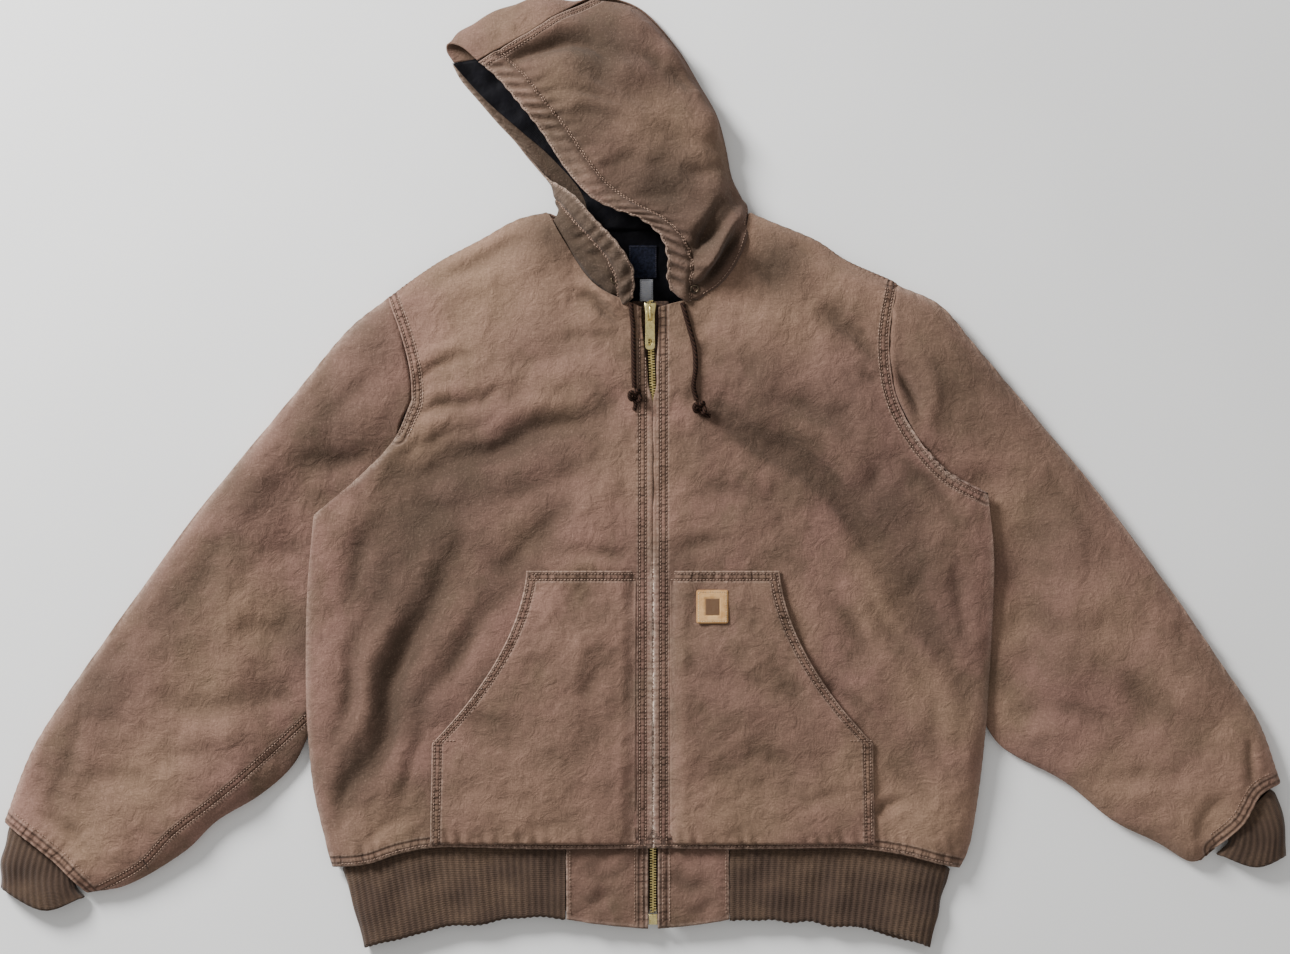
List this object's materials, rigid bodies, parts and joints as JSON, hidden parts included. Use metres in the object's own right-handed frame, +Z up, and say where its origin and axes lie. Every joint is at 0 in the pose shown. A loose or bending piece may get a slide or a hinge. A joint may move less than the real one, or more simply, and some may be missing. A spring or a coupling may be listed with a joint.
{
  "type": "hooded canvas work jacket",
  "caption": "Hooded canvas work jacket laid flat on its back: zip front, kangaroo pockets, rib cuffs and waistband, drawcord hood with free ends.",
  "frame": {"origin": "on the floor, under the middle of the laid jacket's box", "axes": "+X to the wearer's left, across the jacket; +Y from the hem towards the hood; +Z up, away from the floor it lies on"},
  "size_m": [1.287, 0.9499, 0.0462],
  "materials": {
    "canvas": "washed brown cotton duck, matt, worn pale at the seams",
    "rib": "dark brown rib knit, matt",
    "lining": "black lining, slightly shiny",
    "navy_label": "plain dark woven label",
    "pale_label": "plain pale printed-satin label, blank",
    "leather_patch": "tan leather, a plain pressed frame",
    "zip_tape": "dark brown woven tape",
    "zip_metal": "pale worn brass",
    "drawcord": "dark brown braided cord"
  },
  "bodies": {
    "jacket": {"front_right": "canvas", "front_left": "canvas", "back": "canvas", "sleeve_right": "canvas", "sleeve_left": "canvas", "pocket_right": "canvas", "pocket_left": "canvas", "waist_tab_right": "canvas", "waist_tab_left": "canvas", "hood_left": "canvas", "hood_right": "canvas", "hood_centre": "canvas", "cuff_right": "rib", "cuff_left": "rib", "waistband_rib": "rib", "hood_lining": "lining", "neck_lining": "lining", "brand_label": "navy_label", "size_label": "pale_label", "leather_patch": "leather_patch", "zip_tape_right": "zip_tape", "zip_tape_left": "zip_tape", "zip_teeth": "zip_metal", "zip_slider": "zip_metal", "zip_end_box": "zip_metal", "drawcord_right": "drawcord", "drawcord_left": "drawcord", "drawcord_knot_right": "drawcord", "drawcord_knot_left": "drawcord"},
    "pull": {"zip_pull": "zip_metal"}
  },
  "joints": [
    {"name": "pull_hinge", "type": "hinge", "parent": "jacket", "child": "pull", "pos_m": [0.00603, 0.157, 0.03213], "axis": [-1, 0, 0], "range_deg": [0, 165]}
  ]
}
